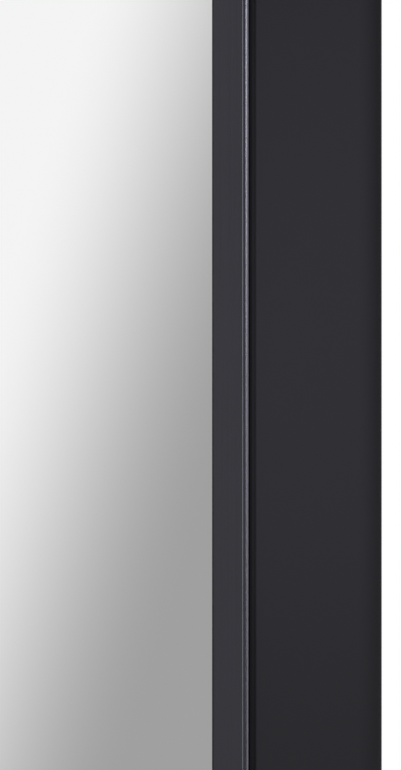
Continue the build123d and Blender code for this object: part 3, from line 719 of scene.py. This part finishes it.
class MIRROR_OT_slides(bpy.types.Operator):
    """Finishes the members and retainers of the slides, and makes their balls"""

    bl_idname = "wardrobe_mirror.slides"
    bl_label = "Slides"

    def execute(self, context):
        """A ball's levels run from pole to pole: radius by the sine and height by the cosine."""
        sizes = context.scene.mirror_sizes
        zinc = zinc_plated_steel("zinc_plated_steel_rolled", context.scene.mirror_colours.zinc)
        cage = zinc_plated_steel("zinc_plated_steel_punched", linear("#b3b4b2"), 0.4)
        steel = grained("bearing_steel_ground", "#cfd1d3", 3.0, 0.001, 0.12, Metallic=1.0)
        rubber = grained(
            "rubber_moulded_black", "#1b1b1c", 0.6, 0.03, 0.65, IOR=1.5, Specular_IOR_Level=0.3,
        )
        polar = np.linspace(np.radians(4), np.radians(176), 15)
        for level in LEVELS:
            for member in ("outer", "middle", "inner"):
                softened(f"{level}_slide_{member}", sizes.sheet_edge * 0.6, zinc)
            for row in ("outer", "inner"):
                softened(f"{level}_{row}_retainer", 0.1 * MM, cage)
                node = f"{level}_{row}_balls"
                low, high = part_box(node)
                half = (high.y - low.y) / 2
                places = [
                    (x, (low.y + high.y) / 2, z)
                    for x, z in grid_of(node, half, half, sizes.balls_in_row, 2)
                ]
                profile = [
                    (sizes.ball_radius * np.sin(a), sizes.ball_radius * np.cos(a), 0, 0)
                    for a in polar
                ]
                balls = turned(f"{level}_{row}_ball_set", places, (0, -1, 0), profile, [steel], 24)
                instead_of(balls, node)
        softened("slide_stops", sizes.moulded_edge, rubber)
        return {"FINISHED"}


def hexagon_screw_profile(sizes, length):
    """Hexagon head over a washer face: the top's corners fall away at 30 degrees."""
    flat = sizes.head_radius * TO_FLAT
    shank = sizes.shank_radius
    middle, shoulder, side, washer = flat * 0.5, flat * 0.93, flat * 0.995, flat * 0.96
    return [
        (middle, sizes.head_height, 0, 0), (shoulder, sizes.head_height, 0, 0),
        (side, sizes.head_height, 1, 1), (side, WASHER_FACE, 1, 0),
        (washer, WASHER_FACE, 0, 0), (washer, 0, 0, 0),
        (shank, 0, 0, 0), (shank, SCREW_POINT - length, 0, 0),
        (shank - SCREW_POINT, -length, 0, 0),
    ]


class MIRROR_OT_carriage(bpy.types.Operator):
    """Finishes the carriage with its catches and bumpers, and makes its screws"""

    bl_idname = "wardrobe_mirror.carriage"
    bl_label = "Carriage"

    def execute(self, context):
        sizes = context.scene.mirror_sizes
        steel = powder_coat(
            "steel_powder_coated_carriage", context.scene.mirror_colours.steel, 0.9, 0.45, 0.45
        )
        for node in (
            "carriage_post", "carriage_rear_bar", "upper_carriage_rail", "lower_carriage_rail",
        ):
            softened(node, sizes.sheet_edge, steel)
        nylon = grained(
            "nylon_moulded_black", "#222225", 0.5, 0.03, 0.5, IOR=1.53, Specular_IOR_Level=0.4,
        )
        softened("magnet_cases", sizes.moulded_edge, nylon)
        softened("catch_magnets", sizes.sheet_edge, grained(
            "magnet_nickel_plated", "#a9a79f", 2.0, 0.002, 0.22, Metallic=1.0,
        ))
        softened("leaf_bumpers", sizes.moulded_edge, grained(
            "rubber_moulded_soft", "#1d1d1e", 0.6, 0.03, 0.7, IOR=1.5, Specular_IOR_Level=0.3,
        ))
        low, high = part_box("rail_screws")
        seat = low.y + sizes.head_height
        flat = sizes.head_radius * TO_FLAT
        places = [(x, seat, z) for x, z in grid_of("rail_screws", sizes.head_radius, flat)]
        profile = hexagon_screw_profile(sizes, high.y - seat)
        black = grained("steel_black_zinc_hexagon", "#4b4b4f", 0.3, 0.01, 0.35, Metallic=1.0)
        instead_of(
            turned("rail_hexagon_screws", places, (0, -1, 0), profile, [black]), "rail_screws"
        )
        return {"FINISHED"}


class MIRROR_OT_pivots(bpy.types.Operator):
    """Finishes the pivot arms, bushes and pins, and makes the arms' screws"""

    bl_idname = "wardrobe_mirror.pivots"
    bl_label = "Pivots"

    def execute(self, context):
        sizes = context.scene.mirror_sizes
        colours = context.scene.mirror_colours
        steel = powder_coat("steel_powder_coated_plate", colours.steel, 0.9, 0.42, 0.45)
        acetal = grained(
            "acetal_moulded_bush", "#26262a", 1.0, 0.005, 0.35, IOR=1.48, Specular_IOR_Level=0.5,
        )
        zinc = zinc_plated_steel("zinc_plated_steel_turned", colours.zinc, 0.22)
        for level in LEVELS:
            softened(f"{level}_pivot_arm", sizes.sheet_edge * 2, steel)
            softened(f"{level}_pivot_bush", sizes.sheet_edge * 0.6, acetal)
            softened(f"{level}_pivot_pin", sizes.sheet_edge, zinc)
        low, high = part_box("pivot_arm_screws")
        seat = low.y + sizes.head_height
        flat = sizes.head_radius * TO_FLAT
        places = [
            ((low.x + high.x) / 2, seat, z) for _, z in grid_of("pivot_arm_screws", 0, flat, 1, 2)
        ]
        profile = hexagon_screw_profile(sizes, high.y - seat)
        black = grained("steel_black_zinc_screw", "#4b4b4f", 0.3, 0.01, 0.35, Metallic=1.0)
        instead_of(
            turned("pivot_hexagon_screws", places, (0, -1, 0), profile, [black]),
            "pivot_arm_screws",
        )
        return {"FINISHED"}


def aimed(name, place, target, kind, data_values):
    """A lamp at a place that looks at a target."""
    lamp = bpy.data.lights.new(name, kind)
    for key, value in data_values.items():
        setattr(lamp, key, value)
    piece = linked(name, lamp)
    piece.location = place
    piece.rotation_mode = "QUATERNION"
    piece.rotation_quaternion = (Vector(target) - Vector(place)).to_track_quat("-Z", "Y")
    return piece


class MIRROR_OT_stage(bpy.types.Operator):
    """Makes the camera, lamps, floor, surroundings and the soft wall that the mirror shows"""

    bl_idname = "wardrobe_mirror.stage"
    bl_label = "Stage"

    # the picture's size at the face of the leaf, and its middle
    picture_height = 459.7 * MM
    picture_middle = (131.2 * MM, 0.0)
    lens_mm = 700.0
    sensor_mm = 36.0
    # light that gloss finds in a direction, as smooth steps: along which axis, where the step
    # starts and ends, and the light there
    gloss_steps = {
        "sky": ("Z", -0.5, 0.5, 0.35, 0.8),
        "behind_viewer": ("Y", -0.6, 0.3, 1.0, 0.14),
        "overhead": ("Z", 0.2, 0.7, 0.0, 0.75),
        "far_side": ("Y", 0.35, 0.85, 0.0, 0.8),
    }
    # the far side is dark between these two heights of a direction
    far_band = (0.04, 0.22)
    # light on all that isn't glossy, and how much more of it comes from the left
    plain_light = 0.54
    plain_from_left = 0.27
    # the floor's rings and where it clears, as shares of its radius
    floor_radius = 4.0
    floor_rings = (0.01, 0.3, 0.6, 0.8, 1.0)
    floor_clears = (0.25, 0.9)
    floor_below = 2 * MM
    # the soft wall's brightness as display values: it falls from the first to the second between
    # two distances right of the picture's middle, on lines that lean by this slope
    wall_light = 0.955
    wall_dark = 0.6265
    fall_start = -138.1 * MM
    fall_end = 26.7 * MM
    fall_slope = 0.305
    wall_distance = 1.0
    wall_half = 0.75
    wall_clears = (0.43, 0.95)
    # right of all that the glass shows, the wall is lighter below and darker above, by shares
    # that change between two heights
    beside = (0.0095, 0.05)
    beside_heights = (-0.10, 0.25)
    beside_shares = (0.8, -0.97)
    # share of the wall's light that the silvering gives back
    mirror_share = 0.92

    def execute(self, context):
        scene = context.scene
        scene.view_settings.view_transform = "Standard"
        leaf = leaf_sizes()
        middle_x, middle_z = self.picture_middle
        reach = self.picture_height * self.lens_mm / self.sensor_mm

        camera = bpy.data.cameras.new("picture_camera")
        camera.lens = self.lens_mm
        camera.sensor_width = self.sensor_mm
        camera.clip_end = 100
        viewer = linked("picture_camera", camera)
        viewer.location = (middle_x, leaf["front_y"] - reach, middle_z)
        viewer.rotation_euler = (math.pi / 2, 0, 0)
        scene.camera = viewer

        self.surroundings(scene)
        self.floor(scene, cad_box[0].z)
        self.mirrored_wall(leaf, reach)
        self.lamps()
        return {"FINISHED"}

    def falling(self, tree, value, start, end):
        """Light that falls from light to dark as a value grows: a smooth step of display values,
        turned linear as (display value plus 0.055, over 1.055) to the power 2.4."""
        fall = add(tree, "ShaderNodeMapRange", {"interpolation_type": "SMOOTHSTEP"}, {
            "Value": value, "From Min": start, "From Max": end,
            "To Min": (self.wall_light + 0.055) / 1.055,
            "To Max": (self.wall_dark + 0.055) / 1.055,
        }).outputs["Result"]
        return add(tree, "ShaderNodeMath", {"operation": "POWER"}, {0: fall, 1: 2.4}).outputs[0]

    def surroundings(self, scene):
        """White where it is seen, and for all that isn't glossy a plain level with more from the
        left. Gloss finds a sky that is lighter above, open behind the viewer, overhead and on the
        far side, with dark flags at the sides and in a band round the far side's horizon."""
        world = bpy.data.worlds.new("studio")
        scene.world = world
        world.use_nodes = True
        tree = world.node_tree
        background = tree.nodes["Background"]
        ray = add(tree, "ShaderNodeLightPath").outputs
        direction = add(tree, "ShaderNodeTexCoord").outputs["Generated"]
        axes = add(tree, "ShaderNodeSeparateXYZ", None, {"Vector": direction}).outputs
        steps = {
            name: add(tree, "ShaderNodeMapRange", {"interpolation_type": "SMOOTHSTEP"}, {
                "Value": axes[axis], "From Min": start, "From Max": end,
                "To Min": light_before, "To Max": light_after,
            }).outputs["Result"]
            for name, (axis, start, end, light_before, light_after) in self.gloss_steps.items()
        }
        off_level = add(tree, "ShaderNodeMath", {"operation": "ABSOLUTE"}, {
            0: axes["Z"],
        }).outputs[0]
        sloping = add(tree, "ShaderNodeMapRange", {"interpolation_type": "SMOOTHSTEP"}, {
            "Value": off_level, "From Min": self.far_band[0], "From Max": self.far_band[1],
        }).outputs["Result"]
        far_sloping = add(tree, "ShaderNodeMath", {"operation": "MULTIPLY"}, {
            0: steps["far_side"], 1: sloping,
        }).outputs[0]
        above_or_far = add(tree, "ShaderNodeMath", {"operation": "MAXIMUM"}, {
            0: steps["overhead"], 1: far_sloping,
        }).outputs[0]
        open_part = add(tree, "ShaderNodeMath", {"operation": "MAXIMUM"}, {
            0: steps["behind_viewer"], 1: above_or_far,
        }).outputs[0]
        gloss = add(tree, "ShaderNodeMath", {"operation": "MULTIPLY"}, {
            0: steps["sky"], 1: open_part,
        }).outputs[0]
        plain = add(tree, "ShaderNodeMath", {"operation": "MULTIPLY_ADD"}, {
            0: axes["X"], 1: -self.plain_from_left, 2: self.plain_light,
        }).outputs[0]
        light = add(tree, "ShaderNodeMix", {"data_type": "FLOAT"}, {
            "Factor": ray["Is Glossy Ray"], "A": plain, "B": gloss,
        }).outputs["Result"]
        seen = add(tree, "ShaderNodeMath", {"operation": "MAXIMUM"}, {
            0: ray["Is Camera Ray"], 1: ray["Is Transmission Ray"],
        }).outputs[0]
        strength = add(tree, "ShaderNodeMix", {"data_type": "FLOAT"}, {
            "Factor": seen, "A": light, "B": 1.0,
        }).outputs["Result"]
        tree.links.new(strength, background.inputs["Strength"])
        background.inputs["Color"].default_value = (1, 1, 1, 1)

    def floor(self, scene, bottom):
        """Disc of rings round the object, just under it, which clears towards its rim."""
        turn = np.linspace(0, 2 * np.pi, 96, endpoint=False)
        radii = self.floor_radius * np.array(self.floor_rings)[:, None]
        level = np.full((len(radii), len(turn)), bottom - self.floor_below)
        rings = np.stack([radii * np.cos(turn), radii * np.sin(turn), level], axis=-1)
        index = np.arange(rings[..., 0].size).reshape(rings.shape[:2])
        here, outer = index[:-1], index[1:]
        quads = np.stack([
            here, outer, np.roll(outer, -1, axis=1), np.roll(here, -1, axis=1),
        ], axis=-1)
        material, tree, shader = surface(
            "studio_floor_painted", Roughness=0.8, Specular_IOR_Level=0.2
        )
        place = mottled(tree, shader, scene.mirror_colours.floor, 0.01, 400)[0]
        flat = add(tree, "ShaderNodeVectorMath", {"operation": "MULTIPLY"}, {
            0: place, 1: (1, 1, 0),
        }).outputs[0]
        start, end = (share * self.floor_radius for share in self.floor_clears)
        output = next(node for node in tree.nodes if node.type == "OUTPUT_MATERIAL")
        tree.links.new(
            fading(tree, shader.outputs[0], flat, start, end), output.inputs["Surface"]
        )
        faces = quads.reshape(-1, 4).tolist() + [index[0].tolist()]
        mesh = meshed("studio_floor", rings.reshape(-1, 3), faces, [material], smooth=False)
        linked("studio_floor", mesh)

    def mirrored_wall(self, leaf, reach):
        """Soft wall in front of the mirror, which only gloss sees and which clears towards its
        rim. Seen in the glass, a point lies as many times further from the picture's middle as its
        light has further to go."""
        middle_x, middle_z = self.picture_middle
        spread = 1 + self.wall_distance / reach
        half = self.wall_half
        y = leaf["front_y"] - self.wall_distance
        material = bpy.data.materials.new("soft_wall_lit")
        material.use_nodes = True
        tree = material.node_tree
        tree.nodes.clear()
        place = add(tree, "ShaderNodeTexCoord").outputs["Object"]
        shifted = add(tree, "ShaderNodeVectorMath", {"operation": "SUBTRACT"}, {
            0: place, 1: (middle_x, y, middle_z),
        }).outputs[0]
        lean = add(tree, "ShaderNodeVectorMath", {"operation": "DOT_PRODUCT"}, {
            0: shifted, 1: (1, 0, -self.fall_slope),
        }).outputs["Value"]
        shade = self.falling(tree, lean, self.fall_start * spread, self.fall_end * spread)
        apart = add(tree, "ShaderNodeSeparateXYZ", None, {"Vector": shifted}).outputs
        beside = add(tree, "ShaderNodeMapRange", {"interpolation_type": "SMOOTHSTEP"}, {
            "Value": apart["X"], "From Min": self.beside[0], "From Max": self.beside[1],
        }).outputs["Result"]
        share = add(tree, "ShaderNodeMapRange", {"interpolation_type": "SMOOTHSTEP"}, {
            "Value": apart["Z"],
            "From Min": self.beside_heights[0], "From Max": self.beside_heights[1],
            "To Min": self.beside_shares[0], "To Max": self.beside_shares[1],
        }).outputs["Result"]
        gain = add(tree, "ShaderNodeMath", {"operation": "MULTIPLY_ADD"}, {
            0: beside, 1: share, 2: 1.0,
        }).outputs[0]
        gained = add(tree, "ShaderNodeMath", {"operation": "MULTIPLY"}, {
            0: shade, 1: gain,
        }).outputs[0]
        bright = add(tree, "ShaderNodeMath", {"operation": "DIVIDE"}, {
            0: gained, 1: self.mirror_share,
        }).outputs[0]
        light = add(tree, "ShaderNodeEmission", None, {
            "Color": (1, 1, 1, 1), "Strength": bright,
        }).outputs[0]
        start, end = (share_of_half * half for share_of_half in self.wall_clears)
        add(tree, "ShaderNodeOutputMaterial", None, {
            "Surface": fading(tree, light, shifted, start, end),
        })
        corners = [
            (middle_x + a * half, y, middle_z + b * half)
            for a, b in ((-1, -1), (1, -1), (1, 1), (-1, 1))
        ]
        wall = linked("soft_wall", meshed(
            "soft_wall", corners, [(0, 1, 2, 3)], [material], smooth=False
        ))
        wall.visible_camera = False
        wall.visible_diffuse = False
        wall.visible_shadow = False
        wall.visible_transmission = False

    def lamps(self):
        """A soft key from the upper left, a lamp from the rear right and a pool of light on the
        cover leave out the mirror. Three upright strips lie only on the gloss of the two stiles:
        those on the left end below mid height, and the wide one on the right a little lower, so
        their lines on the bead and the edge beside it fade downwards."""
        no_pane = bpy.data.collections.new("lit_by_key")
        no_pane.objects.link(bpy.data.objects["mirror_pane"])
        no_pane.collection_objects[0].light_linking.link_state = "EXCLUDE"
        only_frame = bpy.data.collections.new("lit_by_strips")
        for node in ("left_stile", "right_stile"):
            only_frame.objects.link(nodes[node])
        object_middle = (0.03, -0.03, 0.0)
        square = {"shape": "RECTANGLE", "size": 1.4, "size_y": 1.4}
        key = aimed("key", (-1.5, -2.4, 1.8), object_middle, "AREA", {**square, "energy": 20.0})
        rear = aimed("rear", (1.1, 2.8, 1.7), object_middle, "AREA", {**square, "energy": 55.0})
        pool = aimed("pool", (-0.5, -2.28, 0.04), (0.2, -0.05, 0.04), "SPOT", {
            "spot_size": math.radians(14.5), "spot_blend": 1.0, "shadow_soft_size": 0.1,
            "energy": 96.0,
        })
        pool.visible_glossy = False
        for lamp in (key, rear, pool):
            lamp.light_linking.receiver_collection = no_pane
        # each strip faces the right stile's outer edge: its place, width, height and energy
        edge_x, edge_y = 0.16, -0.05
        for name, place, width, height, energy in (
            ("strip_left_high", (-0.72, -0.95, 0.45), 0.6, 0.7, 36.0),
            ("strip_left_middle", (-0.72, -0.95, -0.02), 0.6, 0.24, 4.2),
            ("strip_right", (1.46, -0.80, 0.64), 1.5, 2.1, 42.0),
        ):
            strip = aimed(name, place, (edge_x, edge_y, place[2]), "AREA", {
                "shape": "RECTANGLE", "size": width, "size_y": height, "energy": energy,
            })
            strip.visible_camera = False
            strip.visible_diffuse = False
            strip.light_linking.receiver_collection = only_frame


class MIRROR_PT_panel(bpy.types.Panel):
    """Lists the sizes, the colours and the operators"""

    bl_idname = "MIRROR_PT_panel"
    bl_label = "Wardrobe Mirror"
    bl_space_type = "VIEW_3D"
    bl_region_type = "UI"
    bl_category = "Wardrobe Mirror"

    def draw(self, context):
        for group in (context.scene.mirror_sizes, context.scene.mirror_colours):
            box = self.layout.box()
            for key in group.__annotations__:
                box.prop(group, key)
        column = self.layout.column(align=True)
        for operator in OPERATORS:
            column.operator(operator.bl_idname)


OPERATORS = (
    MIRROR_OT_glass, MIRROR_OT_frame, MIRROR_OT_leaf_inside, MIRROR_OT_cover, MIRROR_OT_base,
    MIRROR_OT_slides, MIRROR_OT_carriage, MIRROR_OT_pivots, MIRROR_OT_stage,
)
CLASSES = (MirrorSizes, MirrorColours, *OPERATORS, MIRROR_PT_panel)


def register():
    for each in CLASSES:
        bpy.utils.register_class(each)
    bpy.types.Scene.mirror_sizes = PointerProperty(type=MirrorSizes)
    bpy.types.Scene.mirror_colours = PointerProperty(type=MirrorColours)


def unregister():
    del bpy.types.Scene.mirror_colours
    del bpy.types.Scene.mirror_sizes
    for each in reversed(CLASSES):
        bpy.utils.unregister_class(each)


def main():
    register()
    for operator in OPERATORS:
        group, name = operator.bl_idname.split(".")
        getattr(getattr(bpy.ops, group), name)()


if __name__ == "__main__":
    main()
